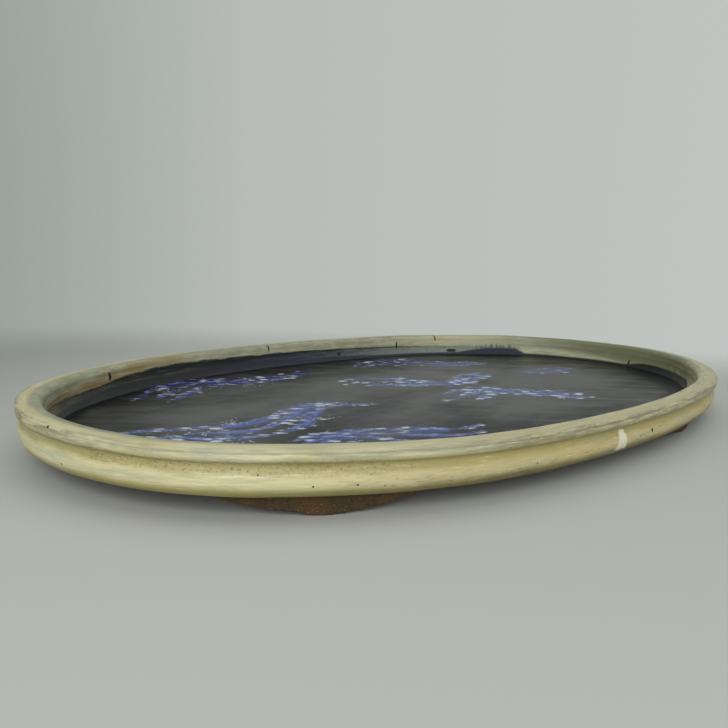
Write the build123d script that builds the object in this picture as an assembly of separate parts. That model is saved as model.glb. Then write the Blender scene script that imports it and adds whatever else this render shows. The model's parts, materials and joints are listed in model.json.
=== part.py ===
from build123d import *

import os
from math import acos, asin, atan, atan2, cos, degrees, hypot, radians, sin, sqrt, tan
from typing import NamedTuple

# Shallow oval stoneware tray (suiban) for water, stones and cut flowers, in
# millimetres, +Z up, long side along X, origin on the table under its middle.
# It is slab built: a flat floor slab, a rolled coil round it for the belly of
# the wall, a second coil on top for the rim, and bracket feet luted underneath.
# Wall sections are drawn by how far a point lies in from the outline (inset)
# and down from the top of the rim (drop).

# Overall sizes of the tray.
length = 450.0
width = 265.0
height = 26.0

# Outline: an oval of eight tangent arcs. The end arcs are this much fuller than
# an ellipse's end, and the arcs meet where an ellipse drawn from a circle by
# stretching has these turns from the long axis.
end_fullness_share = 4 / 3
end_turn = 39.0
shoulder_turn = 73.3

# Rim coil: crowned on top, with a thin lip over a full bead.
rim_thickness = 10.8
crown_radius = 23.0
crown_inset = 5.0
lip_height = 0.7
inner_edge_radius = 3.2
bead_top_inset = 0.5
bead_top_drop = 1.6
bead_inset = 0.1
bead_drop = 3.0
bead_foot_inset = 0.8
bead_foot_drop = 4.5

# Waist, where the rim coil sits on the belly coil.
waist_inset = 2.8
waist_drop = 6.0
wall_flare = 0.6

# Belly coil: full round outside, with a straight flank above it up to the waist
# and a straight underside to the slab, and a cove inside.
flank_length = 2.3
belly_inset = 1.0
belly_radius = 6.7
cove_width = 4.0

# Floor slab, let in between the lower edges of the belly coil.
floor_drop = 14.2
floor_thickness = 5.4

# Bracket feet. Each lower edge has a pad on the table inside a shallow lobe, a
# notch at each side of it and full wings that rise to the body. Reaches are
# shares of half a foot's length, rises are shares of the height under the slab.
# The two feet on a long side stand this far apart along the rim, and both pairs
# are turned along it from the middle of that side, clockwise from above.
feet_spacing = 252.0
feet_turn = 50.0
foot_inset = 9.5
foot_depth = 13.0
foot_lean = 1.2
foot_half_length = 38.0
foot_tip_sink = 0.8
pad_reach_share = 0.08
notch_reach_share = 0.275
notch_rise_share = 0.25
wing_reach_share = 0.58
wing_rise_share = 0.5

half_length = length / 2
half_width = width / 2
end_radius = end_fullness_share * half_width**2 / half_length
end_angle = degrees(atan(half_length / half_width * tan(radians(end_turn))))
shoulder_angle = degrees(atan(half_length / half_width * tan(radians(shoulder_turn))))
waist_inner_inset = rim_thickness + wall_flare
floor_inset = waist_inner_inset + cove_width
slab_bottom = height - floor_drop - floor_thickness
slab_middle = slab_bottom + floor_thickness / 2
up = Vector(0, 0, 1)


class Arc(NamedTuple):
    """One arc of the outline, in plan, from a start to an end bearing in degrees."""

    centre: Vector
    radius: float
    start: float
    end: float


def toward(bearing):
    """Unit vector in plan along a bearing in degrees."""
    return Vector(cos(radians(bearing)), sin(radians(bearing)), 0)


def outline_arcs():
    """The eight arcs of the outline, counterclockwise from the +X end."""
    # Steps in radius from end to shoulder and from shoulder to side that close
    # the oval on its length and on its width.
    end_out, end_up = toward(end_angle).X, 1 - toward(end_angle).Y
    side_out, side_up = toward(shoulder_angle).X, 1 - toward(shoulder_angle).Y
    along, across = half_length - end_radius, half_width - end_radius
    spread = end_out * side_up - side_out * end_up
    shoulder_step = (along * side_up - across * side_out) / spread
    side_step = (across * end_out - along * end_up) / spread
    shoulder_radius = end_radius + shoulder_step
    side_radius = shoulder_radius + side_step

    arcs = []
    for turn in (0, 180):
        end_centre = toward(turn) * along
        near_centre = end_centre - toward(turn + end_angle) * shoulder_step
        side_centre = near_centre - toward(turn + shoulder_angle) * side_step
        far_centre = side_centre + toward(turn + 180 - shoulder_angle) * side_step
        arcs += [
            Arc(end_centre, end_radius, turn - end_angle, turn + end_angle),
            Arc(near_centre, shoulder_radius, turn + end_angle, turn + shoulder_angle),
            Arc(side_centre, side_radius, turn + shoulder_angle, turn + 180 - shoulder_angle),
            Arc(far_centre, shoulder_radius, turn + 180 - shoulder_angle, turn + 180 - end_angle),
        ]
    return arcs


def outline(inset, level):
    """Closed wire parallel to the outline, at a height above the table."""
    edges = []
    for arc in outline_arcs():
        middle = arc.centre + up * level
        bearings = (arc.start, (arc.start + arc.end) / 2, arc.end)
        edges.append(Edge.make_three_point_arc(*[middle + toward(b) * (arc.radius - inset) for b in bearings]))
    return Wire(edges)


def round_the_oval(section):
    """Carry a wall section, drawn with x = -inset and y = height, once round the outline."""
    spans = []
    for arc in outline_arcs():
        outward = toward(arc.start)
        plane = Plane(origin=arc.centre + outward * arc.radius, x_dir=outward, z_dir=outward.cross(up))
        spans.append(revolve(plane * section, axis=Axis(arc.centre, up), revolution_arc=arc.end - arc.start))
    return spans[0].fuse(*spans[1:])


def at(inset, drop):
    """Point of a wall section."""
    return Vector(-inset, height - drop)


def rim_section():
    """Crowned top, rounded inner edge, thin lip over a bead, and the upper flank of the waist."""
    crown_centre = at(crown_inset, crown_radius)
    inner_reach = crown_radius - inner_edge_radius
    inner_turn = degrees(asin((rim_thickness - inner_edge_radius - crown_inset) / inner_reach))
    inner_centre = crown_centre + toward(90 + inner_turn) * inner_reach
    lip_turn = degrees(asin(crown_inset / crown_radius))
    bead_top, bead_foot = at(bead_top_inset, bead_top_drop), at(bead_foot_inset, bead_foot_drop)
    with BuildSketch() as section:
        with BuildLine():
            inner = CenterArc(inner_centre, inner_edge_radius, 180, inner_turn - 90)
            crown = CenterArc(crown_centre, crown_radius, 90 + inner_turn, -inner_turn - lip_turn)
            Polyline(crown @ 1, crown @ 1 - Vector(0, lip_height), bead_top)
            ThreePointArc(bead_top, at(bead_inset, bead_drop), bead_foot)
            Polyline(bead_foot, at(waist_inset, waist_drop), at(waist_inner_inset, waist_drop), inner @ 0)
        make_face()
    return section.sketch


def belly_section():
    """Lower flank of the waist, round belly, straight underside and inner cove."""
    waist, waist_inner = at(waist_inset, waist_drop), at(waist_inner_inset, waist_drop)
    slab_top, slab_low = at(floor_inset, floor_drop), at(floor_inset, floor_drop + floor_thickness)
    # The flank runs tangent into the belly, which sets how far down its centre lies.
    centre_in = belly_inset + belly_radius - waist_inset
    centre = waist - Vector(centre_in, sqrt(belly_radius**2 + flank_length**2 - centre_in**2))
    flank_bearing = degrees(atan2(waist.Y - centre.Y, centre_in) - atan2(flank_length, belly_radius))
    # The underside leaves the belly on the tangent through the slab's lower edge.
    slab_in, slab_down = centre.X - slab_low.X, centre.Y - slab_low.Y
    underside_bearing = degrees(acos(belly_radius / hypot(slab_in, slab_down)) - atan2(slab_down, -slab_in))
    with BuildSketch() as section:
        with BuildLine():
            belly = CenterArc(centre, belly_radius, flank_bearing, underside_bearing - flank_bearing)
            Line(waist, belly @ 0)
            Polyline(belly @ 1, slab_low, slab_top)
            TangentArc(waist_inner, slab_top, tangent=(0, -1))
            Line(waist_inner, waist)
        make_face()
    return section.sketch


def foot_ring():
    """Ring under the wall that the feet are cut from, leaning in towards the table outside."""
    inner = foot_inset + foot_depth
    with BuildSketch() as section:
        with BuildLine():
            Polyline((-foot_inset, slab_middle), (-foot_inset - foot_lean, 0), (-inner, 0),
                     (-inner, slab_middle), close=True)
        make_face()
    return round_the_oval(section.sketch)


def foot_elevation():
    """A foot seen from outside, with the pad on y = 0."""
    pad = Vector(foot_half_length * pad_reach_share, 0)
    notch = Vector(foot_half_length * notch_reach_share, slab_bottom * notch_rise_share)
    wing = Vector(foot_half_length * wing_reach_share, slab_bottom * wing_rise_share)
    tip = Vector(foot_half_length, slab_bottom + foot_tip_sink)
    with BuildSketch() as elevation:
        with BuildLine():
            Line((0, 0), pad)
            TangentArc(pad, notch, tangent=(1, 0))
            ThreePointArc(notch, wing, tip)
            Polyline(tip, (tip.X, slab_middle), (0, slab_middle), (0, 0))
        make_face()
        mirror(about=Plane.YZ)
    return elevation.sketch


def bracket_foot(place, along, ring, underside):
    """Cut one foot from the ring at a place on the outline and seat it on the underside."""
    outside = Plane(origin=place, x_dir=along, z_dir=along.cross(up))
    blank = ring & extrude(outside * foot_elevation(), amount=-foot_inset - foot_depth - foot_half_length)
    return (blank - underside).solids().sort_by(Axis.Z)[0]


belly_wall = round_the_oval(belly_section())
rim_band = round_the_oval(rim_section())
floor_slab = extrude(Face(outline(floor_inset, slab_bottom)), amount=floor_thickness, dir=up)
pieces = {"rim_band": rim_band, "belly_wall": belly_wall, "floor_slab": floor_slab}

# The outline wire starts at the end arc's first bearing, so the way from there
# to the +X end comes on top of each foot's own place. The front side's middle is
# three quarters of the way round. The oval looks the same turned half way round,
# and so does the set of feet.
rim_line = outline(0, 0)
lead = radians(end_angle) * end_radius
ring = foot_ring()
underside = belly_wall.fuse(floor_slab)
foot_pairs = (("foot_front_left", "foot_back_right"), ("foot_front_right", "foot_back_left"))
for number, (front, back) in enumerate(foot_pairs):
    share = 3 / 4 + (lead - feet_turn + (number - 1 / 2) * feet_spacing) / rim_line.length
    place, along = rim_line.position_at(share), rim_line.tangent_at(share)
    pieces[front] = bracket_foot(place, along, ring, underside)
    pieces[back] = pieces[front].rotate(Axis.Z, 180)

os.makedirs("parts", exist_ok=True)
for name, shape in pieces.items():
    export_step(shape, f"parts/{name}.step")
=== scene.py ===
"""Looks of a shallow oval stoneware tray: ash-glazed wall, dark painted floor and bare clay feet."""

import json
import logging
import math
from dataclasses import dataclass, field
from enum import Enum

import bpy
import numpy as np
from mathutils import Matrix, Vector, kdtree

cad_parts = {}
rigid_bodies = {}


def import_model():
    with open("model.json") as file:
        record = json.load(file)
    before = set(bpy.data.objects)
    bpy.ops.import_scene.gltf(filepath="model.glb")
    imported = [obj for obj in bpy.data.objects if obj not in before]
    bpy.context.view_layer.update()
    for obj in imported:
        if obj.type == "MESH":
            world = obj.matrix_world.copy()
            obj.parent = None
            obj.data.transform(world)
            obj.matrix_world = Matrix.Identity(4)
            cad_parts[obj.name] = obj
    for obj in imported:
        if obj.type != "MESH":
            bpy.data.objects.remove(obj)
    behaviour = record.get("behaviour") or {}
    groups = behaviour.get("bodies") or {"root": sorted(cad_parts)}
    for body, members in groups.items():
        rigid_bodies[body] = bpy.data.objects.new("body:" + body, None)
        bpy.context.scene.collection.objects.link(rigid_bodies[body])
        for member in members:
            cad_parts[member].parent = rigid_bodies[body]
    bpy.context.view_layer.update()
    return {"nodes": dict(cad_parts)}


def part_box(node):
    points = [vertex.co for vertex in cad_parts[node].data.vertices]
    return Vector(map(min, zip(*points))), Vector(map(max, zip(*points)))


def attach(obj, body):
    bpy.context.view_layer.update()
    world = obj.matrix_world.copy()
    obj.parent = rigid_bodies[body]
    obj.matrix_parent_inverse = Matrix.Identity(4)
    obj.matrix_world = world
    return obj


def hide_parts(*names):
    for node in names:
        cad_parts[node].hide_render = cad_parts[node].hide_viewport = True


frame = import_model()

logging.basicConfig(level=logging.INFO, format="%(levelname)s %(message)s")
log = logging.getLogger("suiban")

MM = 0.001
TO_MM = (1000, 1000, 1000)
UP = Vector((0, 0, 1))
WELD = 0.01 * MM
CRISP_ANGLE = 40.0

Colour = tuple[float, float, float, float]
Array = np.ndarray
Numbers = tuple[float, ...]
Piece = bpy.types.Object
Finish = bpy.types.Material
Owner = Finish | bpy.types.World


class Layer(Enum):
    """What a piece stores per vertex for its material."""

    WALL = "round_wall"
    PAINT = "brushwork"
    EDGE = "slab_inset"
    BRISTLE = "bristles"


class Slot(Enum):
    """Material slots of the record."""

    WALL = "glazed_wall"
    FLOOR = "floor_glaze"
    CLAY = "bare_clay"


# Colours and small helpers.


def pigment(*screen: int) -> Colour:
    """Red, green and blue as they look on a screen, 0 to 255, in linear light, with an alpha of 1."""
    linear = [(c / 255 / 12.92) if c <= 10 else ((c / 255 + 0.055) / 1.055) ** 2.4 for c in screen]
    return (*linear, 1.0)


def mm(*lengths: float) -> Numbers:
    """Millimetres turned into metres."""
    return tuple(length * MM for length in lengths)


def toward(bearing: float) -> Vector:
    """Unit vector in plan along a bearing in degrees."""
    return Vector((math.cos(math.radians(bearing)), math.sin(math.radians(bearing)), 0))


def deselect() -> None:
    """Leave edit mode and deselect every object."""
    if bpy.context.object and bpy.context.object.mode != "OBJECT":
        bpy.ops.object.mode_set(mode="OBJECT")
    bpy.ops.object.select_all(action="DESELECT")


def pick(piece: Piece) -> None:
    """Make one piece the only selected and active object.

    Args:
        piece: The piece.
    """
    deselect()
    piece.select_set(True)
    bpy.context.view_layer.objects.active = piece


def apply_modifiers(piece: Piece) -> None:
    """Apply a piece's modifiers from the first to the last.

    Args:
        piece: The piece.
    """
    pick(piece)
    for modifier in list(piece.modifiers):
        bpy.ops.object.modifier_apply(modifier=modifier.name)


def settle(piece: Piece, smooth_angle: float = CRISP_ANGLE) -> None:
    """Put a piece's place into its mesh, face it outwards and shade it smooth.

    Args:
        piece: The finished mesh.
        smooth_angle: Edges sharper than this many degrees stay sharp.
    """
    pick(piece)
    bpy.ops.object.transform_apply(location=True, rotation=True, scale=True)
    edit()
    bpy.ops.mesh.remove_doubles(threshold=WELD)
    bpy.ops.mesh.normals_make_consistent(inside=False)
    bpy.ops.object.mode_set(mode="OBJECT")
    bpy.ops.object.shade_smooth_by_angle(angle=math.radians(smooth_angle))


def edit(action: str = "SELECT") -> None:
    """Go into edit mode and select or deselect the whole mesh."""
    bpy.ops.object.mode_set(mode="EDIT")
    bpy.ops.mesh.select_all(action=action)


def corners(piece: Piece) -> Array:
    """Read a piece's vertices.

    Args:
        piece: The piece.

    Returns:
        Rows of x, y and z, in metres.
    """
    flat = np.empty(len(piece.data.vertices) * 3)
    piece.data.vertices.foreach_get("co", flat)
    return flat.reshape(-1, 3)


def write_attribute(piece: Piece, layer: Layer, values: Array) -> None:
    """Store a number or a vector per vertex for the material.

    Args:
        piece: The piece.
        layer: What the values are.
        values: One number or one row of three for each vertex.
    """
    kind, key = ("FLOAT_VECTOR", "vector") if values.ndim == 2 else ("FLOAT", "value")
    stored = piece.data.attributes.new(layer.value, kind, "POINT")
    stored.data.foreach_set(key, values.astype(np.float32).ravel())


def hand_over(piece: Piece, node: str, finish: Finish) -> None:
    """Give a finished piece its material and put it in the place of its CAD node.

    Args:
        piece: The finished piece.
        node: The CAD node that it replaces.
        finish: Its material.
    """
    piece.data.materials.clear()
    piece.data.materials.append(finish)
    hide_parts(node)
    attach(piece, "root")


def nearest(points: Array, places: Array) -> tuple[Array, Array]:
    """Find the nearest point to each place.

    Args:
        points: Rows of two numbers.
        places: Rows of two numbers.

    Returns:
        Which point it is and how far off it lies.
    """
    tree = kdtree.KDTree(len(points))
    for number, (x, y) in enumerate(points):
        tree.insert((x, y, 0), number)
    tree.balance()
    found = [tree.find((x, y, 0)) for x, y in places]
    return np.array([number for _, number, _ in found]), np.array([gap for _, _, gap in found])


def wobble(piece: Piece, name: str, lump: float, reach: float) -> None:
    """Move a piece's points by soft noise, alike for touching pieces.

    Args:
        piece: The piece, which gets a Displace modifier.
        name: Name of the noise.
        lump: Width of a typical lump, in metres.
        reach: Points move by up to half of this along each axis, in metres.
    """
    texture = bpy.data.textures.new(name, "CLOUDS")
    texture.cloud_type = "COLOR"
    texture.noise_scale = lump
    texture.noise_depth = 1
    modifier = piece.modifiers.new("hand_" + name, "DISPLACE")
    modifier.texture = texture
    modifier.texture_coords = "LOCAL"
    modifier.direction = "RGB_TO_XYZ"
    modifier.space = "LOCAL"
    modifier.mid_level = 0.5
    modifier.strength = reach


# The oval that the wall, the floor and the feet follow.


@dataclass(frozen=True)
class Arc:
    """One arc of the outline in plan, in metres and degrees."""

    centre: Vector
    radius: float
    start: float
    end: float


@dataclass
class Oval:
    """The outline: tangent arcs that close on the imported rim's length and width."""

    half_length: float
    half_width: float
    end_fullness: float = 4 / 3
    end_turn: float = 39.0
    shoulder_turn: float = 73.3
    quarter: list[Arc] = field(init=False)

    def __post_init__(self) -> None:
        """Solve the arcs of the first quarter, from the +X end to the +Y side."""
        ratio = self.half_length / self.half_width
        end_radius = self.end_fullness * self.half_width / ratio
        end_angle = math.degrees(math.atan(ratio * math.tan(math.radians(self.end_turn))))
        shoulder_angle = math.degrees(math.atan(ratio * math.tan(math.radians(self.shoulder_turn))))
        end_out, end_up = toward(end_angle).x, 1 - toward(end_angle).y
        side_out, side_up = toward(shoulder_angle).x, 1 - toward(shoulder_angle).y
        along, across = self.half_length - end_radius, self.half_width - end_radius
        spread = end_out * side_up - side_out * end_up
        shoulder_step = (along * side_up - across * side_out) / spread
        side_step = (across * end_out - along * end_up) / spread
        end_centre = toward(0) * along
        shoulder_centre = end_centre - toward(end_angle) * shoulder_step
        side_centre = shoulder_centre - toward(shoulder_angle) * side_step
        self.quarter = [
            Arc(end_centre, end_radius, 0, end_angle),
            Arc(shoulder_centre, end_radius + shoulder_step, end_angle, shoulder_angle),
            Arc(side_centre, end_radius + shoulder_step + side_step, shoulder_angle, 90),
        ]

    def perimeter(self) -> float:
        """Length of the outline, in metres."""
        return 4 * sum(arc.radius * math.radians(arc.end - arc.start) for arc in self.quarter)

    def locate(self, points: Array) -> tuple[Array, Array]:
        """Find how far round and how far in from the outline points near the wall lie.

        Args:
            points: Rows of x, y and z, in metres.

        Returns:
            Distance round from the +X end and inset from the outline, in metres.
        """
        folded = np.abs(points[:, :2])
        around = np.zeros(len(points))
        inset = np.full(len(points), np.inf)
        passed = 0.0
        for arc in self.quarter:
            out = folded - np.array(arc.centre.xy)
            bearing = np.degrees(np.arctan2(out[:, 1], out[:, 0]))
            depth = arc.radius - np.hypot(out[:, 0], out[:, 1])
            inside = (bearing > arc.start - 1e-3) & (bearing < arc.end + 1e-3)
            around[inside] = passed + arc.radius * np.radians(bearing[inside] - arc.start)
            inset[inside] = depth[inside]
            passed += arc.radius * math.radians(arc.end - arc.start)
        left, front = points[:, 0] < 0, points[:, 1] < 0
        around = np.where(left, 2 * passed - around, around)
        return np.where(front, 4 * passed - around, around), inset

    def sweep(self, pen: "Pen", pace: float) -> None:
        """Spin what a pen has drawn along the first quarter and mirror it round the oval.

        Args:
            pen: The pen, with its drawing selected in edit mode.
            pace: Longest step along the outline, in metres.
        """
        for arc in self.quarter:
            turn = math.radians(arc.end - arc.start)
            steps = math.ceil(arc.radius * turn / pace)
            bpy.ops.mesh.spin(steps=steps, angle=-turn, center=arc.centre, axis=UP)
        pick(pen.piece)
        bpy.ops.object.transform_apply(location=True, rotation=True, scale=True)
        mirror = pen.piece.modifiers.new("round", "MIRROR")
        mirror.use_axis = (True, True, False)
        mirror.merge_threshold = WELD
        apply_modifiers(pen.piece)


class Pen:
    """Draws a line of vertices in the x-z plane at the +X end, in edit mode.

    Points are given by inset from the outline and drop from the top of the rim.
    """

    def __init__(self, name: str, oval: Oval, height: float, start: Numbers, pace: float) -> None:
        """Put the first vertex down.

        Args:
            name: Name of the new piece.
            oval: The outline that insets are measured from.
            height: Height of the rim's top, in metres.
            start: Inset and drop of the first point, in metres.
            pace: Longest step along the line, in metres.
        """
        self.reach, self.height, self.pace = oval.half_length, height, pace
        self.path = [start[:2]]
        deselect()
        bpy.ops.mesh.primitive_plane_add(size=pace, location=self.place(start))
        self.piece = bpy.context.object
        self.piece.name = name
        edit()
        bpy.ops.mesh.merge(type="CENTER")

    def place(self, point: Numbers) -> Vector:
        """Where an inset and drop lie in the model."""
        return Vector((self.reach - point[0], 0, self.height - point[1]))

    def line(self, point: Numbers, pace: float | None = None) -> None:
        """Extrude the last vertex in even steps to a point.

        Args:
            point: Inset and drop of the point, in metres.
            pace: Longest step, where it isn't the pen's own.
        """
        start = self.path[-1]
        steps = max(1, math.ceil(math.dist(start, point[:2]) / (pace or self.pace)))
        stride = (self.place(point) - self.place(start)) / steps
        for number in range(1, steps + 1):
            bpy.ops.mesh.extrude_region_move(TRANSFORM_OT_translate={"value": stride})
            share = number / steps
            self.path.append(tuple(a + (b - a) * share for a, b in zip(start, point)))

    def arcs(self, *points: Numbers) -> None:
        """Spin the last vertex along an arc to each point in turn.

        Args:
            points: Inset and drop of each arc's end, and how far the arc stands to the left of its
                chord, seen from -Y, in metres.
        """
        for *point, bulge in points:
            first, last = self.place(self.path[-1]), self.place(point)
            chord = (last - first).length
            radius = (chord * chord / 4 + bulge * bulge) / (2 * abs(bulge))
            turn = 4 * math.atan(2 * abs(bulge) / chord)
            along = (last - first) / chord
            side = 1 if bulge > 0 else -1
            centre = (first + last) / 2 + Vector((-along.z, 0, along.x)) * (bulge - side * radius)
            steps = max(2, math.ceil(radius * turn / self.pace))
            bpy.ops.mesh.spin(steps=steps, angle=-side * turn, center=centre, axis=(0, 1, 0))
            for number in range(1, steps + 1):
                here = centre + Matrix.Rotation(side * turn * number / steps, 3, "Y") @ (first - centre)
                self.path.append((self.reach - here.x, self.height - here.z))


@dataclass
class WallSection:
    """The wall's section in metres: inset from the outline, drop from the rim's top and, where an arc leads
    to the point, the arc's bulge.
    """

    inner_face: tuple = mm(10.8, 3.37)
    inner_edge: tuple = mm(8.02, 0.2, 0.82)
    crown: tuple = mm(5.0, 0.0, 0.05)
    lip_top: tuple = mm(0.95, 0.37, 0.09)
    lip_foot: tuple = mm(0.2, 1.3, 0.24)
    bead_top: tuple = mm(0.36, 1.9)
    bead_foot: tuple = mm(1.214, 4.904, 0.68)
    waist: tuple = mm(2.128, 6.0, -0.132)
    shoulder: tuple = mm(1.952, 7.675, -0.186)
    keel: tuple = mm(6.309, 17.67, 2.805)
    slab_low: tuple = mm(15.4, 19.6)
    slab_top: tuple = mm(15.4, 14.2)
    waist_inner: tuple = mm(11.4, 6.0, -1.054)
    pace: float = 0.4 * MM
    hidden_pace: float = 2.0 * MM

    def draw_rim(self, pen: Pen) -> None:
        """Draw the rim clockwise seen from -Y.

        Args:
            pen: A pen at the inner waist.
        """
        pen.line(self.inner_face)
        pen.arcs(self.inner_edge, self.crown, self.lip_top, self.lip_foot)
        pen.line(self.bead_top)
        pen.arcs(self.bead_foot, self.waist)
        pen.line(self.waist_inner, self.hidden_pace)

    def draw_belly(self, pen: Pen) -> None:
        """Draw the belly clockwise seen from -Y.

        Args:
            pen: A pen at the outer waist.
        """
        pen.arcs(self.shoulder, self.keel)
        pen.line(self.slab_low)
        pen.line(self.slab_top, self.hidden_pace)
        pen.arcs(self.waist_inner)
        pen.line(self.waist, self.hidden_pace)


# Node recipes.


class Value:
    """What a node gives: a number, a place or a colour. Arithmetic on it adds nodes to its recipe."""

    def __init__(self, recipe: "Recipe", socket: bpy.types.NodeSocket) -> None:
        """Hold a node's output."""
        self.recipe, self.socket = recipe, socket

    def math(self, operation: str, *others: "Feed") -> "Value":
        """A Math node on this number and others."""
        return self.recipe.node("Math", dict(enumerate((self, *others))), operation=operation)

    def vector(self, operation: str, *others: "Feed", output: str = "Vector") -> "Value":
        """A Vector Math node on this place and others."""
        return self.recipe.node("VectorMath", dict(enumerate((self, *others))), output, operation=operation)

    def __add__(self, other: "Feed") -> "Value":
        """The sum."""
        return self.math("ADD", other)

    def __sub__(self, other: "Feed") -> "Value":
        """The difference."""
        return self.math("SUBTRACT", other)

    def __mul__(self, other: "Feed") -> "Value":
        """The product."""
        return self.math("MULTIPLY", other)

    def __or__(self, other: "Feed") -> "Value":
        """The larger of two numbers."""
        return self.math("MAXIMUM", other)

    def __abs__(self) -> "Value":
        """The number without its sign."""
        return self.math("ABSOLUTE")

    def part(self, axis: str) -> "Value":
        """One of a place's numbers."""
        return self.recipe.node("SeparateXYZ", {0: self}, axis)

    def stretched(self, scale: Numbers, shift: float = 0.0) -> "Value":
        """The place scaled along its axes, so that what is drawn on it stretches, and shifted."""
        feeds = {"Vector": self, "Scale": scale, "Location": (shift, shift, shift)}
        return self.recipe.node("Mapping", feeds, "Vector")

    def turned(self, bearing: float) -> "Value":
        """The place seen with a bearing in degrees as its first axis."""
        feeds = {"Vector": self, "Rotation": (0, 0, -math.radians(bearing))}
        return self.recipe.node("Mapping", feeds, "Vector")

    def noise(self, scale: float, detail: float = 3.0, roughness: float = 0.55) -> "Value":
        """Noise from 0 to 1, by its lumps to a unit of the place, its finer layers and their strength."""
        feeds = {"Vector": self, "Scale": scale, "Detail": detail, "Roughness": roughness}
        return self.recipe.node("TexNoise", feeds, "Fac")

    def streaks(self, scale: Numbers, shift: float, detail: float, roughness: float) -> "Value":
        """Noise that is drawn out by its lumps to a unit along each axis, and read at a shift of its own."""
        return self.stretched(scale, shift).noise(1.0, detail, roughness)

    def cells(self, scale: float) -> "Value":
        """Distance to the nearest of a scatter of points."""
        return self.recipe.node("TexVoronoi", {"Vector": self, "Scale": scale}, "Distance")

    def away(self, point: Numbers) -> "Value":
        """Distance of the place from a point."""
        return self.vector("DISTANCE", point, output="Value")

    def facing(self, bearing: float) -> "Value":
        """How far the place lies along a bearing in degrees."""
        return self.vector("DOT_PRODUCT", tuple(toward(bearing)), output="Value")

    def clockwise_from(self, bearing: float, radius: float) -> "Value":
        """Distance round a ring from a bearing, clockwise from above. It jumps at the ring's far side."""
        return self.facing(bearing - 90).math("ARCTAN2", self.facing(bearing)) * radius

    def rise(self, low: float, high: float) -> "Value":
        """0 below low, 1 above high and smooth between. It falls instead where low is the larger."""
        feeds = {"Value": self, "From Min": low, "From Max": high}
        return self.recipe.node("MapRange", feeds, "Result", interpolation_type="SMOOTHSTEP")

    def within(self, low: float, high: float, soft: float) -> "Value":
        """1 from low to high, fading to 0 over soft at both sides."""
        return self.rise(low - soft, low) * self.rise(high + soft, high)

    def between(self, first: "Feed", second: "Feed") -> "Value":
        """The first colour where this share is 0 and the second where it is 1."""
        return self.recipe.node("Mix", {0: self, 6: first, 7: second}, 2, data_type="RGBA")

    def under(self, *coats: tuple["Feed", "Value"]) -> "Value":
        """This colour with coats laid over it.

        Args:
            coats: Colour of each and how thickly it covers, from 0 to 1, from the lowest up.

        Returns:
            The colour on top.
        """
        colour = self
        for tint, share in coats:
            colour = share.between(colour, tint)
        return colour

    def bump(self, reach: float, strength: float) -> "Value":
        """Normal of a surface that this height from 0 to 1 raises by up to reach metres."""
        return self.recipe.node("Bump", {"Height": self, "Distance": reach, "Strength": strength}, "Normal")


Feed = Value | float | Numbers


class Recipe:
    """The nodes of a material or of the world, which start out empty."""

    def __init__(self, owner: Owner) -> None:
        """Clear the nodes.

        Args:
            owner: The material or the world.
        """
        self.owner = owner
        owner.use_nodes = True
        self.tree = owner.node_tree
        self.tree.nodes.clear()

    def node(
        self, kind: str, feeds: dict[str | int, Feed], output: str | int = 0, **settings: str | bool
    ) -> Value | None:
        """Add a node.

        Args:
            kind: The node's type without its ShaderNode prefix.
            feeds: What goes into each input.
            output: Which output is wanted.
            settings: The node's own options.

        Returns:
            That output, or None from a node without any.
        """
        node = self.tree.nodes.new("ShaderNode" + kind)
        for key, value in settings.items():
            setattr(node, key, value)
        for key, value in feeds.items():
            if isinstance(value, Value):
                self.tree.links.new(value.socket, node.inputs[key])
            else:
                node.inputs[key].default_value = value
        return Value(self, node.outputs[output]) if node.outputs else None

    def attribute(self, layer: Layer, output: str = "Vector") -> Value:
        """What the piece stores per vertex, as a vector, or as a number from the output Fac."""
        return self.node("Attribute", {}, output, attribute_name=layer.value)

    def object_place(self) -> Value:
        """Place on the piece, in metres."""
        return self.node("TexCoord", {}, "Object")

    def shader(self, colour: Feed, roughness: Feed, normal: Feed, specular: float) -> Value:
        """The surface's shader."""
        feeds = {"Base Color": colour, "Roughness": roughness, "Normal": normal}
        return self.node("BsdfPrincipled", feeds | {"Specular IOR Level": specular})

    def close(self, shader: Value) -> Owner:
        """Lead a shader to the output.

        Args:
            shader: The shader.

        Returns:
            The finished material or world.
        """
        kind = "OutputWorld" if isinstance(self.owner, bpy.types.World) else "OutputMaterial"
        self.node(kind, {"Surface": shader})
        return self.owner


# Finishes. Places and sizes in them are in millimetres.


@dataclass(frozen=True)
class BareClay:
    """Coarse brown stoneware clay, fired without glaze."""

    body: Colour = pigment(74, 60, 37)
    dark: Colour = pigment(42, 35, 25)
    toasted: Colour = pigment(87, 65, 37)
    speck: Colour = pigment(196, 182, 158)

    def colour(self, place: Value) -> tuple[Value, Value]:
        """Lay the clay's colour.

        Args:
            place: The place.

        Returns:
            Colour and height of the grit.
        """
        grit = place.noise(1.6, 5.0, 0.7)
        base = place.noise(0.12, 4.0).rise(0.4, 0.66).between(self.body, self.toasted)
        specks = place.cells(0.9).rise(0.12, 0.06)
        return base.under((self.dark, grit.rise(0.5, 0.34)), (self.speck, specks)), grit

    def material(self) -> Finish:
        """Make the clay, laid by each piece's own coordinates.

        Returns:
            The material.
        """
        recipe = Recipe(bpy.data.materials.new("bare_clay"))
        place = recipe.object_place().stretched(TO_MM)
        colour, grit = self.colour(place)
        coarse = grit + place.noise(0.5, 3.0) * 1.4
        return recipe.close(recipe.shader(colour, 0.86, coarse.bump(0.5 * MM, 0.9), 0.3))


@dataclass(frozen=True)
class Pinhole:
    """A burst bubble in the glaze: distance round from the +X end, across from the crown, and radius."""

    around: float
    across: float
    radius: float


@dataclass(frozen=True)
class Crack:
    """A dark mark inside the wall: distance right of the back's middle, half width, top and foot."""

    along: float
    half_width: float
    top: float
    foot: float


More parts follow.
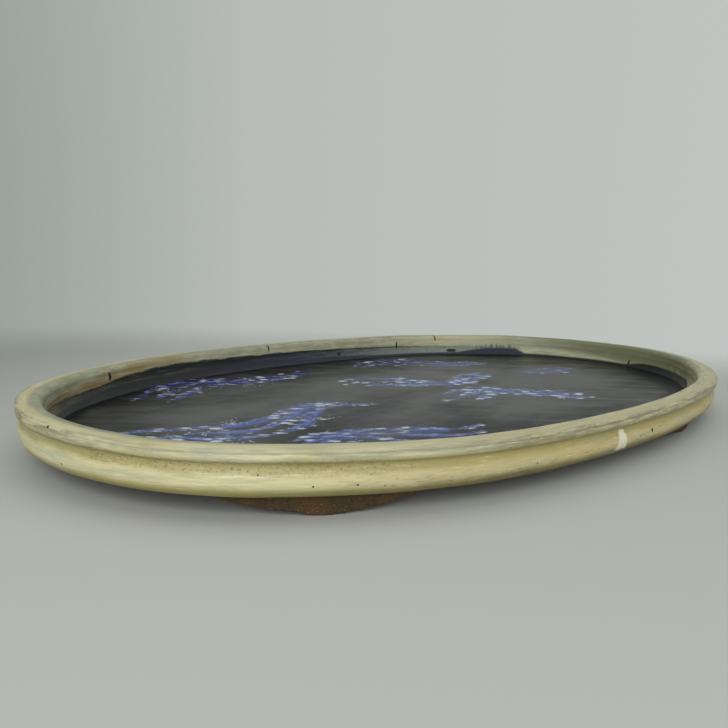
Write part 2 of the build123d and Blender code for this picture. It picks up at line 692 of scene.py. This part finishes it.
@dataclass(frozen=True)
class AshGlaze:
    """Thick pale ash glaze over the whole wall, with its stains and some painted shade inside and bare clay
    underneath.
    """

    ring_radius: float
    clay: BareClay
    cream: Colour = pigment(200, 195, 157)
    butter: Colour = pigment(203, 196, 154)
    straw: Colour = pigment(184, 174, 126)
    olive: Colour = pigment(144, 134, 76)
    # Olive tint under the rim's inner edge, darkened there as painted shade.
    olive_and_shade_under_rim: Colour = pigment(101, 105, 72)
    grey: Colour = pigment(165, 167, 142)
    slate: Colour = pigment(138, 142, 126)
    chalk: Colour = pigment(218, 215, 192)
    honey: Colour = pigment(190, 170, 108)
    sand: Colour = pigment(170, 161, 122)
    taupe: Colour = pigment(124, 116, 90)
    # Sage and ecru are the inner wall's cream darkened as painted shade at the back.
    sage: Colour = pigment(127, 133, 111)
    back_shaded_ecru: Colour = pigment(173, 171, 141)
    sedge: Colour = pigment(68, 67, 47)
    umber: Colour = pigment(84, 72, 40)
    ochre: Colour = pigment(136, 114, 66)
    ink: Colour = pigment(15, 16, 19)
    navy: Colour = pigment(22, 26, 40)
    moss: Colour = pigment(38, 47, 57)
    fog: Colour = pigment(120, 127, 115)
    pinholes: tuple[Pinhole, ...] = (
        Pinhole(587.4, 4.9, 0.32), Pinhole(669.0, 13.9, 0.25), Pinhole(687.0, 17.9, 0.3),
        Pinhole(702.0, 17.8, 0.34), Pinhole(711.7, 18.6, 0.25), Pinhole(594.3, 18.1, 0.34),
        Pinhole(849.3, 16.4, 0.3), Pinhole(855.0, 17.4, 0.25), Pinhole(860.7, 15.4, 0.85),
        Pinhole(870.1, 15.0, 0.34), Pinhole(940.5, 15.3, 0.5), Pinhole(776.0, 17.0, 0.3),
    )
    cracks: tuple[Crack, ...] = (
        Crack(-160.0, 0.6, -7.0, -10.8), Crack(-23.0, 0.45, -3.6, -7.8), Crack(41.7, 1.1, -13.6, -16.0),
        Crack(99.0, 0.45, -8.6, -13.4), Crack(137.0, 0.15, -1.5, -8.4), Crack(152.0, 4.6, -15.2, -17.0),
        Crack(318.0, 0.5, -14.2, -19.5), Crack(399.0, 0.5, -14.8, -19.5),
    )
    chip: Pinhole = Pinhole(833.1, 15.8, 3.9)
    # Where the floor's glaze laps higher up the wall: first, last, softness and rise. The last, near the
    # right end's front corner, is dark glaze and painted shade at the wall's base.
    laps: tuple[Numbers, ...] = (
        (-320.0, -180.0, 120.0, 1.2), (-150.0, -40.0, 50.0, 2.4), (-60.0, 40.0, 50.0, 1.2),
        (338.0, 410.0, 26.0, 3.2),
    )

    def on_ring(self, mark: Pinhole) -> Numbers:
        """Where a mark lies in the wall's own places."""
        turn = mark.around / self.ring_radius
        return (self.ring_radius * math.cos(turn), self.ring_radius * math.sin(turn), mark.across)

    def outside(self, place: Value, across: Value) -> Value:
        """Colour of the crown, lip, bead, waist and belly, with painted shade under the lip and on the lower
        belly at the right.

        Args:
            place: The place on the wall.
            across: Distance across from the crown.

        Returns:
            The colour.
        """
        front = place.clockwise_from(270, self.ring_radius)
        lumps = place.noise(0.028, 4.0)
        drawn = place.streaks((0.04, 0.04, 0.9), 0.0, 6.0, 0.64)
        fine = place.streaks((0.12, 0.12, 1.9), 7.0, 5.0, 0.7)
        patchy = place.streaks((0.025, 0.025, 0.3), 11.0, 6.0, 0.7)
        broken = place.streaks((0.06, 0.06, 0.5), 5.0, 5.0, 0.64)
        grime = place.streaks((0.3, 0.3, 1.4), 21.0, 5.0, 0.7)
        drift = across + (place.streaks((0.04, 0.04, 0.16), 3.0, 5.0, 0.6) - 0.5) * 4.0
        right = front.within(-330.0, 90.0, 120.0)
        waist = drift.within(10.0, 12.2, 3.4)
        # Grey-blue along the lip and the tuck below it: grey patches in the glaze and a painted shade line
        # under the lip.
        worn = (across + (broken - 0.5) * 3.0).within(4.8, 7.0, 1.8)
        ends = front.rise(140.0, 90.0) | front.rise(235.0, 300.0)
        mottled = across.within(4.6, 8.4, 1.6) * ends * (broken + grime * 0.6).rise(0.72, 0.9)
        stipple = place.streaks((0.9, 0.9, 1.1), 2.0, 4.0, 0.75).rise(0.5, 0.66)
        stipple = stipple * waist * (lumps.rise(0.5, 0.62) | front.within(160.0, 240.0, 25.0))
        scuffs = place.streaks((0.2, 0.2, 1.6), 17.0, 4.0, 0.7).rise(0.57, 0.66)
        scuffs = scuffs * across.within(16.5, 22.0, 2.0) * front.within(20.0, 150.0, 40.0)
        ground = (lumps + drawn * 0.8).rise(0.7, 1.2).between(self.cream, self.straw)
        return ground.under(
            (self.butter, drift.within(14.2, 17.4, 2.6) * 0.85),
            (self.sand, right * 0.68),
            (self.honey, right * drift.rise(9.0, 13.0) * 0.6),
            (self.grey, patchy.rise(0.46, 0.66) * 0.65),
            (self.olive, waist * 0.7),
            (self.olive, drift.rise(17.6, 21.4) * 0.85),
            # Darker low belly at the right: dark streaks in the glaze and painted shade near the table.
            (self.umber, drift.rise(16.8, 21.0) * right * 0.68),
            (self.slate, worn * broken.rise(0.36, 0.64) * 0.65),
            (self.taupe, mottled * 0.7),
            (self.umber, stipple * 0.65),
            (self.umber, scuffs * 0.6),
            (self.olive, fine.rise(0.5, 0.72) * 0.5),
            (self.umber, place.cells(0.14).rise(0.06, 0.03) * 0.8),
            (self.chalk, (fine + drawn * 0.6).rise(0.72, 0.56) * 0.55),
        )

    def inside(self, place: Value, across: Value) -> Value:
        """Colour of the inner wall: stained ochre and black at the left, washed grey along the back, with
        painted shade on the back and under the rim's edge at the right.

        Args:
            place: The place on the wall.
            across: Distance across from the crown.

        Returns:
            The colour.
        """
        along = place.clockwise_from(90, self.ring_radius)
        rough = place.streaks((0.07, 0.07, 0.3), 4.0, 6.0, 0.68)
        drawn = place.streaks((0.05, 0.05, 1.2), 9.0, 6.0, 0.66)
        spiky = place.streaks((0.55, 0.55, 0.03), 13.0, 3.0, 0.6)
        grain = place.streaks((0.35, 0.35, 1.3), 6.0, 5.0, 0.7)
        drift = across + (rough - 0.5) * 3.0
        # Painted shade: the crest and inner wall at the back turn greyer and darker, as the light falls off
        # towards the back.
        back_shade = (along + rough * 60.0).within(-300.0, 110.0, 60.0) | along.within(230.0, 330.0, 70.0)
        # Under the rim's inner edge at the right end: an olive tint in the glaze and painted shade below the
        # edge.
        edge = (drift + 13.0 + along.rise(250.0, 330.0) * 5.0).rise(-1.5, 2.5) * drift.rise(-0.4, -2.6)
        edge = edge * along.within(270.0, 380.0, 85.0) * rough.rise(0.24, 0.5)
        lean = across - along * 0.06 + rough * 3.0
        stain = along.within(-235.0, -112.0, 30.0) * lean.within(-3.5, 3.6, 2.6) * drawn.rise(0.3, 0.6)

        # The dark wash that hangs from a line below the crown.
        depth = (rough - 0.5) * 3.6 - across - along * 0.012 - along.rise(-105.0, -195.0) * 4.6 - 10.1
        washed = depth.rise(-0.4, 1.0) * along.rise(-250.0, -200.0)
        washed = washed * (along + spiky * 16.0).rise(226.0, 219.0)
        wash = (along + grain * 90.0).rise(-110.0, 10.0).between(self.sedge, self.moss)
        wash = wash.under(
            (self.fog, (along + grain * 160.0).rise(60.0, 240.0)),
            (self.navy, (along.rise(170.0, 20.0) + drawn * 3.0).rise(2.1, 2.9) * 0.8),
            (self.navy, grain.rise(0.52, 0.66) * 0.7),
        )
        thick = along.within(-112.0, -66.0, 70.0) * 3.6 + 1.4
        black = washed * (depth + grain * 3.0 - thick).rise(1.9, 0.9)
        black = black * along.rise(170.0, 60.0) * drawn.rise(0.4, 0.48)

        # The floor's glaze, which laps up the wall.
        drips = along.rise(150.0, 188.0) * along.rise(222.0, 210.0)
        tide = drips * 3.6 + rough * 1.6 + 1.1
        for first, last, soft, rise in self.laps:
            tide = tide + along.within(first, last, soft) * rise
        height = across - tide + 19.9
        misty = (height - spiky.rise(0.42, 0.66) * 3.4).rise(1.2, -0.6) * drips
        haze = (height - grain * 3.0).rise(0.4, -2.4) * along.within(-380.0, -60.0, 120.0)
        # The back half of the inner wall is darker ecru: painted shade.
        return along.within(-340.0, 340.0, 60.0).between(self.cream, self.back_shaded_ecru).under(
            (self.sage, back_shade * 0.95),
            (self.grey, rough.rise(0.36, 0.64) * 0.8),
            (self.olive, drawn.rise(0.48, 0.66) * 0.7),
            (self.olive_and_shade_under_rim, edge * 0.85),
            (self.ochre, stain * 0.9),
            (wash, washed),
            (self.ink, black),
            (self.navy, misty * 0.6),
            (self.ink, haze * 0.7),
            (along.within(-40.0, 190.0, 60.0).between(self.ink, self.navy), height.rise(0.9, -0.7)),
        )

    def marks(self, place: Value, across: Value) -> Value:
        """1 in each named pinhole and crack, 0 elsewhere.

        Args:
            place: The place on the wall.
            across: Distance across from the crown.

        Returns:
            How far a place lies in a mark.
        """
        fray = place.noise(1.3, 2.0)
        found = place.away(self.on_ring(self.pinholes[0])).rise(0.8, 0.4)
        for hole in self.pinholes:
            near = place.away(self.on_ring(hole)) + fray * 0.5
            found = found | near.rise(hole.radius + 0.45, hole.radius + 0.1)
        along = place.clockwise_from(90, self.ring_radius) + place.noise(0.4, 3.0) * 2.4
        level = across + (fray - 0.5) * 1.2
        for crack in self.cracks:
            half_height = (crack.top - crack.foot) / 2
            side = (along - crack.along - 1.2) * (1 / (crack.half_width + 0.4))
            lift = (level - crack.foot - half_height) * (1 / (half_height + 0.4))
            found = found | (side * side + lift * lift).rise(1.4, 0.6)
        return found

    def chipped(self, place: Value, across: Value) -> Value:
        """1 where the glaze has crawled off in a ragged, squarish patch, 0 elsewhere.

        Args:
            place: The place on the wall.
            across: Distance across from the crown.

        Returns:
            How far a place lies in the patch.
        """
        chip, reach = self.chip, self.chip.radius
        torn = place.streaks((0.5, 0.5, 0.25), 8.0, 4.0, 0.7) - 0.5
        bearing = math.degrees(chip.around / self.ring_radius)
        side = abs(place.facing(bearing + 90) + torn * 3.0) - (across - chip.across) * 0.3
        patch = (across + torn * 4.0).within(chip.across - reach, chip.across + reach, 1.0)
        near = place.away(self.on_ring(chip)).rise(3.0 * reach, 2.0 * reach)
        return near * patch * side.rise(0.95 * reach, 0.7 * reach)

    def material(self) -> Finish:
        """Make the glaze as it lies on the wall.

        Returns:
            The material.
        """
        recipe = Recipe(bpy.data.materials.new("ash_glaze"))
        place = recipe.attribute(Layer.WALL)
        across = place.part("Z")
        holes = self.marks(place, across)
        bare = (across + place.noise(0.09, 4.0) * 3.0).rise(26.0, 26.9)
        clay, grit = self.clay.colour(place)
        colour = across.rise(1.5, -2.0).between(self.outside(place, across), self.inside(place, across))
        chip = self.chipped(place, across) * 0.85
        colour = colour.under((self.chalk, chip), (self.ink, holes), (clay, bare))
        film = place.noise(0.3, 4.0, 0.6) + grit * bare - holes
        roughness = place.noise(0.15, 4.0) * 0.24 + bare * 0.4 + 0.36
        return recipe.close(recipe.shader(colour, roughness, film.bump(0.3 * MM, 0.6), 0.35))


@dataclass(frozen=True)
class FloorGlaze:
    """Dark satin glaze with dry brushwork in cobalt and white, with painted shade along the wall and a
    painted sheen on the open floor.
    """

    clay: BareClay
    char: Colour = pigment(22, 23, 22)
    smoke: Colour = pigment(61, 62, 58)
    # Near black for the painted shade that the wall casts on the floor beside it.
    wall_shade_dark: Colour = pigment(11, 13, 19)
    # Pale grey for the painted sheen of the glaze.
    painted_sheen: Colour = pigment(96, 100, 98)
    cobalt: Colour = pigment(22, 34, 114)
    bloom: Colour = pigment(88, 108, 176)
    foam: Colour = pigment(150, 164, 204)
    white: Colour = pigment(202, 214, 224)

    def brushed(self, place: Value, colour: Value) -> tuple[Value, Value]:
        """Lay the brushwork over a ground.

        Args:
            place: The place on the floor.
            colour: The ground.

        Returns:
            The colour and how thick the paint lies.
        """
        inside = place.recipe.attribute(Layer.PAINT, "Fac")
        bristle = place.recipe.attribute(Layer.BRISTLE)
        hairs = bristle.streaks((0.05, 0.7, 3.7), 0.0, 4.0, 0.68)
        grain = place.noise(0.8, 5.0, 0.75)
        load = inside + hairs * 2.8 + grain * 1.4 + place.noise(0.08, 3.0) * 2.2
        blue = load.rise(3.0, 4.5)
        tone = hairs + grain * 0.6 - place.facing(100).rise(40.0, 84.0) * 0.3
        tone = tone.rise(0.52, 0.88).between(self.cobalt, self.bloom)

        flat = place.turned(-35).stretched((0.09, 0.17, 1.0), 4.0)
        crests = (flat.noise(1.4, 4.0, 0.6) + grain * 0.4).rise(0.68, 0.86)
        crests = crests * inside.rise(-0.4, 0.3) * bristle.part("Y").rise(-3.0, 1.0)
        blobs = (flat.cells(1.3) + grain * 0.8).rise(0.82, 0.62)
        blobs = blobs * place.noise(0.05, 2.0).rise(0.44, 0.56) * inside.rise(-1.0, 0.0)
        spray = (place.cells(0.42) + grain * 0.4).rise(0.5, 0.36)
        spray = spray * place.noise(0.055, 2.0).rise(0.54, 0.62) * inside.rise(-2.4, -1.0)
        pale = blobs | spray * 0.8
        coats = (tone, blue * 0.92), (self.foam, crests * 0.75), (self.white, pale * 0.92)
        return colour.under(*coats), blue | pale

    def material(self) -> Finish:
        """Make the glaze as it lies on the floor.

        Returns:
            The material.
        """
        recipe = Recipe(bpy.data.materials.new("floor_glaze"))
        place = recipe.object_place().stretched(TO_MM)
        rim = recipe.attribute(Layer.EDGE, "Fac")
        washes = place.streaks((0.012, 0.03, 0.02), 0.0, 5.0, 0.6)
        combed = place.turned(-44).streaks((0.02, 0.14, 0.1), 5.0, 6.0, 0.64)
        # Brush streaks drawn lighter towards the right end as a painted sheen, and a painted sheen over the
        # open floor away from the wall.
        streak_sheen = combed.rise(0.46, 0.68) * place.facing(-24).rise(-60.0, 90.0)
        open_floor_sheen = (rim + washes * 30.0).rise(36.0, 78.0) * washes.rise(0.25, 0.6)
        # Painted shade: the floor turns near black within some 5 to 14 mm of the wall, reaching further in
        # towards the right end.
        shade = rim + place.noise(0.05, 4.0) * 10.0 - place.facing(-6).rise(60.0, 190.0) * 14.0
        colour = (washes + combed * 0.9).rise(0.8, 1.16).between(self.char, self.smoke).under(
            (self.painted_sheen, streak_sheen * 0.4),
            (self.painted_sheen, open_floor_sheen * 0.62),
            (self.wall_shade_dark, shade.rise(14.0, 6.0) * 0.9),
        )
        colour, paint = self.brushed(place, colour)
        low = rim.rise(-1.0, -2.0)
        colour = colour.under((self.clay.colour(place)[0], low))
        film = place.noise(0.06, 4.0) + place.noise(0.5, 3.0) * 0.2 + paint * 0.2
        roughness = place.noise(0.03, 4.0) * 0.16 + low * 0.5 + 0.22
        return recipe.close(recipe.shader(colour, roughness, film.bump(0.3 * MM, 0.2), 0.04))


# The pieces.


@dataclass
class Wall:
    """The rim coil and the belly coil, spun round the oval from one section."""

    oval: Oval
    height: float
    section: WallSection = field(default_factory=WallSection)
    step_round: float = 1.6 * MM
    lumps: float = 0.9 * MM
    long_lump: float = 90 * MM
    short_lump: float = 22 * MM

    def spin_round(self, pen: Pen) -> Piece:
        """Close a drawn section and carry it once round the oval.

        Args:
            pen: The pen that drew it.

        Returns:
            The coil.
        """
        bpy.ops.mesh.select_all(action="SELECT")
        bpy.ops.mesh.remove_doubles(threshold=WELD)
        bpy.ops.mesh.select_all(action="SELECT")
        self.oval.sweep(pen, self.step_round)
        settle(pen.piece)
        return pen.piece

    def unroll(self, rim: Pen, belly: Pen) -> tuple[Array, Array]:
        """Points of the section with their distances across from the crown.

        Args:
            rim: The pen that drew the rim.
            belly: The pen that drew the belly.

        Returns:
            Insets and drops, and the distance of each.
        """
        rim_path, belly_path = np.array(rim.path), np.array(belly.path)
        rim_run, belly_run = self.lengths(rim_path), self.lengths(belly_path)
        crown = self.passing(rim_path, self.section.crown)
        waist = self.passing(rim_path, self.section.waist)
        keel = self.passing(belly_path, self.section.slab_low)
        corner = self.passing(belly_path, self.section.slab_top)
        cove = self.passing(belly_path, self.section.waist_inner)
        outer = rim_run[waist] - rim_run[crown] + belly_run[: keel + 1]
        inner = belly_run[corner : cove + 1] - belly_run[cove] - rim_run[crown]
        points = np.vstack([rim_path[: waist + 1], belly_path[: keel + 1], belly_path[corner : cove + 1]])
        return points, np.concatenate([rim_run[: waist + 1] - rim_run[crown], outer, inner])

    @staticmethod
    def lengths(path: Array) -> Array:
        """Distance along a path to each of its points."""
        return np.concatenate([[0.0], np.cumsum(np.hypot(*np.diff(path, axis=0).T))])

    @staticmethod
    def passing(path: Array, point: Numbers) -> int:
        """Which of a path's points lies nearest a point, the last one where several do."""
        gaps = np.hypot(*(path - np.array(point[:2])).T)
        return int(np.flatnonzero(gaps < gaps.min() + 1e-7)[-1])

    def chart(self, piece: Piece, points: Array, runs: Array) -> None:
        """Give a piece the attribute that the glaze is drawn on.

        Args:
            piece: A piece of the wall.
            points: Insets and drops of the section's points.
            runs: Distance across from the crown of each.
        """
        places = corners(piece)
        around, inset = self.oval.locate(places)
        across = runs[nearest(points, np.column_stack([inset, self.height - places[:, 2]]))[0]]
        radius = self.oval.perimeter() / math.tau
        turn = around / radius
        rows = np.column_stack([radius * np.cos(turn), radius * np.sin(turn), across])
        write_attribute(piece, Layer.WALL, rows / MM)

    def build(self, glaze: Finish) -> list[Piece]:
        """Make both coils.

        Args:
            glaze: The finish of both.

        Returns:
            The rim and the belly.
        """
        rim_pen = Pen("ash_glazed_rim", self.oval, self.height, self.section.waist_inner, self.section.pace)
        self.section.draw_rim(rim_pen)
        rim = self.spin_round(rim_pen)
        belly_pen = Pen("ash_glazed_belly", self.oval, self.height, self.section.waist, self.section.pace)
        self.section.draw_belly(belly_pen)
        belly = self.spin_round(belly_pen)
        points, runs = self.unroll(rim_pen, belly_pen)
        for piece, node in ((rim, "rim_band"), (belly, "belly_wall")):
            self.chart(piece, points, runs)
            wobble(piece, "long", self.long_lump, self.lumps)
            wobble(piece, "short", self.short_lump, self.lumps / 3)
            apply_modifiers(piece)
            hand_over(piece, node, glaze)
        return [rim, belly]


@dataclass(frozen=True)
class Current:
    """Strands of flowing water side by side, in millimetres and degrees: their heading swings as they run.

    Late and early are the most that a strand leaves out at its start and end, as a share of the run.
    """

    start: tuple[float, float]
    heading: float
    length: float
    sway: float
    wave: float
    phase: float = 0.0
    strands: int = 3
    apart: float = 9.5
    half_width: float = 4.4
    pace: float = 0.7
    late: float = 0.16
    early: float = 0.2

    def traces(self) -> list[tuple[Array, Array, Array, Array]]:
        """Follow each strand from its start.

        Returns:
            For each strand, how far along each point is, the points, which way it runs and half its width.
        """
        run = np.arange(0, self.length, self.pace)
        swing = np.sin(math.tau * run / self.wave + math.radians(self.phase))
        turn = np.radians(self.heading + self.sway * swing)
        ways = np.column_stack([np.cos(turn), np.sin(turn)])
        middle = np.array(self.start) + np.cumsum(ways, axis=0) * self.pace
        aside = np.column_stack([-ways[:, 1], ways[:, 0]])
        found = []
        for number in range(self.strands):
            first = int(len(run) * self.late * (0.5 + 0.5 * math.sin(9.1 * number + self.phase)))
            last = int(len(run) * (1 - self.early * (0.5 - 0.5 * math.cos(5.3 * number + self.phase))))
            share = np.clip((np.arange(first, last) - first) / (last - first), 0.02, 0.98)
            swell = 0.85 + 0.3 * np.sin(math.tau * share * 2.3 + self.phase + number)
            spread = 0.8 + 0.35 * np.sin(math.tau * share + self.phase)
            gap = self.apart * (number - (self.strands - 1) / 2) * spread
            points = middle[first:last] + aside[first:last] * gap[:, None]
            widths = self.half_width * np.sin(math.pi * share) ** 0.4 * swell
            found.append((run[first:last], points, ways[first:last], widths))
        return found


@dataclass
class Floor:
    """The slab between the walls, with flowing water brushed on its glaze."""

    oval: Oval
    inset: float
    top: float
    thickness: float
    step: float = 1.15 * MM
    grid_share: float = 0.64
    least_level: float = -3.0
    middle_inset: float = 50 * MM
    below: float = -3.0
    currents: tuple[Current, ...] = (
        Current((-150, 64), 10, 150, 30, 118, 0),
        Current((-186, 12), -2, 156, 34, 124, 200),
        Current((-150, -46), -16, 128, 32, 112, 60),
        Current((-34, 40), -10, 132, 36, 120, 120),
        Current((-18, -22), -22, 108, 36, 104, 20),
        Current((26, 86), -16, 128, 30, 122, 80),
        Current((108, 16), -30, 62, 30, 104, 300, 2),
    )

    def paint(self, places: Array) -> tuple[Array, Array]:
        """How far each place lies inside the brushwork, and where on its nearest stroke.

        Args:
            places: Rows of x, y and z, in metres.

        Returns:
            A number that is 1 in the middle of a stroke, 0 at its edge and less outside, and rows of
            millimetres along and beside the nearest stroke and that stroke's number.
        """
        traces = [trace for current in self.currents for trace in current.traces()]
        numbers = np.concatenate([np.full(len(trace[0]), number) for number, trace in enumerate(traces)])
        runs, points, ways, widths = (np.concatenate(column) for column in zip(*traces))
        spots = places[:, :2] / MM
        which, gaps = nearest(points, spots)
        off, way = spots - points[which], ways[which]
        ahead = (off * way).sum(axis=1)
        aside = off[:, 1] * way[:, 0] - off[:, 0] * way[:, 1]
        rows = np.column_stack([runs[which] + ahead, aside, numbers[which]])
        return np.maximum(self.least_level, 1 - gaps / widths[which]), rows

    def build(self, glaze: Finish) -> Piece:
        """Make the slab.

        Args:
            glaze: The floor's finish.

        Returns:
            The slab.
        """
        pen = Pen("painted_floor", self.oval, self.top, (self.inset, 0.0), self.step)
        self.oval.sweep(pen, self.step)
        floor = pen.piece
        edit()
        bpy.ops.mesh.extrude_region_move(TRANSFORM_OT_translate={"value": (0, 0, -self.thickness)})
        bpy.ops.mesh.edge_face_add()
        bpy.ops.mesh.select_all(action="DESELECT")
        bpy.ops.object.mode_set(mode="OBJECT")
        floor.data.vertices.foreach_set("select", corners(floor)[:, 2] > self.top - self.thickness / 2)
        bpy.ops.object.mode_set(mode="EDIT")
        loop = len(floor.data.vertices) // 2
        bpy.ops.mesh.fill_grid(span=round(loop / 2 * self.grid_share))
        settle(floor)
        places = corners(floor)
        _, inset = self.oval.locate(places)
        inset = np.where(np.isfinite(inset), inset, self.middle_inset) - self.inset
        level, rows = self.paint(places)
        write_attribute(floor, Layer.PAINT, level)
        under = places[:, 2] < self.top - self.thickness / 2
        write_attribute(floor, Layer.EDGE, np.where(under, self.below, inset / MM))
        write_attribute(floor, Layer.BRISTLE, rows)
        hand_over(floor, "floor_slab", glaze)
        return floor


@dataclass
class Foot:
    """One bracket foot, its CAD shape softened and worn by hand."""

    node: str
    grain: float = 0.5 * MM
    grit: float = 0.5 * MM
    fine_lump: float = 4 * MM
    coarse_lump: float = 20 * MM
    worn_angle: float = 50.0

    def build(self, clay: Finish) -> Piece:
        """Make the foot.

        Args:
            clay: Its finish.

        Returns:
            The foot.
        """
        pick(frame["nodes"][self.node])
        bpy.ops.object.duplicate()
        foot = bpy.context.object
        foot.name = "worn_" + self.node
        for key in list(foot.keys()):
            del foot[key]
        bpy.ops.object.parent_clear(type="CLEAR_KEEP_TRANSFORM")
        settle(foot)
        remesh = foot.modifiers.new("even", "REMESH")
        remesh.mode = "VOXEL"
        remesh.voxel_size = self.grain
        smooth = foot.modifiers.new("worn", "SMOOTH")
        smooth.factor = 0.5
        smooth.iterations = 2
        wobble(foot, "grit", self.fine_lump, self.grit)
        wobble(foot, "pinched", self.coarse_lump, 2 * self.grit)
        apply_modifiers(foot)
        edit()
        bpy.ops.mesh.bisect(plane_no=(0, 0, -1), use_fill=True, clear_outer=True, threshold=1e-6)
        bpy.ops.mesh.select_all(action="DESELECT")
        bpy.ops.object.mode_set(mode="OBJECT")
        # Only what hangs together with the pad stays, as a remesh can leave crumbs at thin tips.
        pad = max(foot.data.polygons, key=lambda face: face.area)
        foot.data.vertices[pad.vertices[0]].select = True
        bpy.ops.object.mode_set(mode="EDIT")
        bpy.ops.mesh.select_linked()
        bpy.ops.mesh.select_all(action="INVERT")
        bpy.ops.mesh.delete(type="VERT")
        bpy.ops.object.mode_set(mode="OBJECT")
        settle(foot, self.worn_angle)
        hand_over(foot, self.node, clay)
        return foot


# Studio.


@dataclass(frozen=True)
class Lamp:
    """A soft square lamp: where it hangs, what it points at and its side in metres, and its watts."""

    name: str
    place: Numbers
    aim: Numbers
    size: float
    power: float

    def hang(self) -> None:
        """Add the lamp to the scene."""
        deselect()
        bpy.ops.object.light_add(type="AREA", location=self.place)
        lamp = bpy.context.object
        lamp.name = self.name
        lamp.rotation_euler = (Vector(self.aim) - Vector(self.place)).to_track_quat("-Z", "Y").to_euler()
        lamp.data.size = self.size
        lamp.data.energy = self.power


@dataclass(frozen=True)
class Studio:
    """Table, backdrop, lamps and camera, in metres and radians."""

    table: Colour = pigment(186, 189, 183)
    # Darker table colour for the painted shade where the light falls off.
    table_shaded: Colour = pigment(160, 165, 159)
    dim: Colour = pigment(150, 157, 150)
    even: Colour = pigment(183, 188, 184)
    bright: Colour = pigment(192, 197, 193)
    even_at: float = 0.34
    room: Colour = (0.33, 0.337, 0.33, 1.0)
    table_radius: float = 6.0
    eye: Numbers = mm(-328.95, -254.7, 88.55)
    yaw: float = 0.816
    pitch: float = -0.150
    roll: float = 0.039
    focal_pixels: float = 730.0
    frame_pixels: float = 728.0
    sensor: float = 36.0
    clip_start: float = 0.01
    lamps: tuple[Lamp, ...] = (
        Lamp("front", (-1.1, -0.8, 0.62), (-0.05, -0.05, 0.0), 0.9, 15.0),
        Lamp("fill", (0.5, -1.2, 0.5), (0.05, -0.05, 0.0), 0.9, 1.5),
        Lamp("overhead", (0.1, -0.1, 1.4), (0.0, 0.0, 0.0), 1.6, 5.0),
    )

    def set_camera(self) -> None:
        """Stand the camera where the photograph was taken."""
        deselect()
        bpy.ops.object.camera_add()
        camera = bpy.context.object
        camera.name = "photo_camera"
        stand = Matrix.Translation(self.eye)
        for angle, axis in ((-self.yaw, "Z"), (math.pi / 2 + self.pitch, "X"), (self.roll, "Z")):
            stand = stand @ Matrix.Rotation(angle, 4, axis)
        camera.matrix_world = stand
        camera.data.sensor_fit = "HORIZONTAL"
        camera.data.sensor_width = self.sensor
        camera.data.lens = self.focal_pixels / self.frame_pixels * self.sensor
        camera.data.clip_start = self.clip_start
        bpy.context.scene.camera = camera

    def backdrop(self, direction: Value) -> Value:
        """The backdrop's colour, darker towards the left of the photograph.

        Args:
            direction: Which way the backdrop is looked at.

        Returns:
            The colour.
        """
        recipe, side = direction.recipe, direction.facing(-math.degrees(self.yaw))
        share = recipe.node("MapRange", {"Value": side, "From Min": -0.5, "From Max": 0.5}, "Result")
        ramp = recipe.node("ValToRGB", {0: share}, "Color")
        stops = ramp.socket.node.color_ramp.elements
        stops[0].color, stops[1].color = self.dim, self.bright
        stops.new(self.even_at).color = self.even
        return ramp

    def lay_table(self) -> None:
        """Lay the table top, darker towards the left of the view by painted shade, which runs out into the
        backdrop's colour.
        """
        deselect()
        bpy.ops.mesh.primitive_circle_add(vertices=96, radius=self.table_radius, fill_type="NGON")
        table = bpy.context.object
        table.name = "table"
        recipe = Recipe(bpy.data.materials.new("table_top"))
        place = recipe.object_place()
        # Painted shade: the table darkens towards the left of the view, where the light falls off.
        fading = place.facing(-math.degrees(self.yaw)).rise(-0.14, -0.34)
        colour = fading.between(self.table, self.table_shaded)
        cloth = recipe.shader(colour, 0.8, place.noise(900.0, 3.0).bump(0.1 * MM, 0.2), 0.2)
        ray = place.vector("SUBTRACT", self.eye).vector("NORMALIZE")
        glow = recipe.node("Emission", {"Color": self.backdrop(ray)})
        far = place.away((*self.eye[:2], 0)).rise(0.6, 0.86)
        seen = far * recipe.node("LightPath", {}, "Is Camera Ray")
        table.data.materials.append(recipe.close(recipe.node("MixShader", {0: seen, 1: cloth, 2: glow})))

    def light(self) -> None:
        """Light the room evenly and hang the lamps. Camera and mirror rays see the backdrop."""
        world = bpy.context.scene.world or bpy.data.worlds.new("room")
        bpy.context.scene.world = world
        recipe = Recipe(world)
        seen = recipe.node("LightPath", {}, "Is Camera Ray") | recipe.node("LightPath", {}, "Is Glossy Ray")
        room = recipe.node("Background", {"Color": self.room})
        wall = recipe.node("Background", {"Color": self.backdrop(recipe.node("TexCoord", {}, "Generated"))})
        recipe.close(recipe.node("MixShader", {0: seen, 1: room, 2: wall}))
        for lamp in self.lamps:
            lamp.hang()

    def build(self) -> None:
        """Set the whole studio up."""
        self.set_camera()
        self.lay_table()
        self.light()
        bpy.context.scene.view_settings.view_transform = "Standard"


def report(piece: Piece) -> None:
    """Log a piece's name and size.

    Args:
        piece: The piece.
    """
    piece.data.calc_loop_triangles()
    size = ", ".join(f"{side / MM:.1f}" for side in piece.dimensions)
    log.info("%s: %s mm, %d triangles", piece.name, size, len(piece.data.loop_triangles))


def main() -> None:
    """Build the tray and its studio."""
    low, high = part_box("rim_band")
    oval = Oval((high.x - low.x) / 2, (high.y - low.y) / 2)
    clay = BareClay()
    ash = AshGlaze(oval.perimeter() / math.tau / MM, clay)
    wall = Wall(oval, high.z)
    for piece in wall.build(ash.material()):
        report(piece)
    slab_low, slab_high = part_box("floor_slab")
    floor = Floor(oval, oval.half_length - slab_high.x, slab_high.z, slab_high.z - slab_low.z)
    report(floor.build(FloorGlaze(clay).material()))
    clay_finish = clay.material()
    for node in ("foot_front_left", "foot_front_right", "foot_back_left", "foot_back_right"):
        report(Foot(node).build(clay_finish))
    Studio().build()


if __name__ == "__main__":
    main()
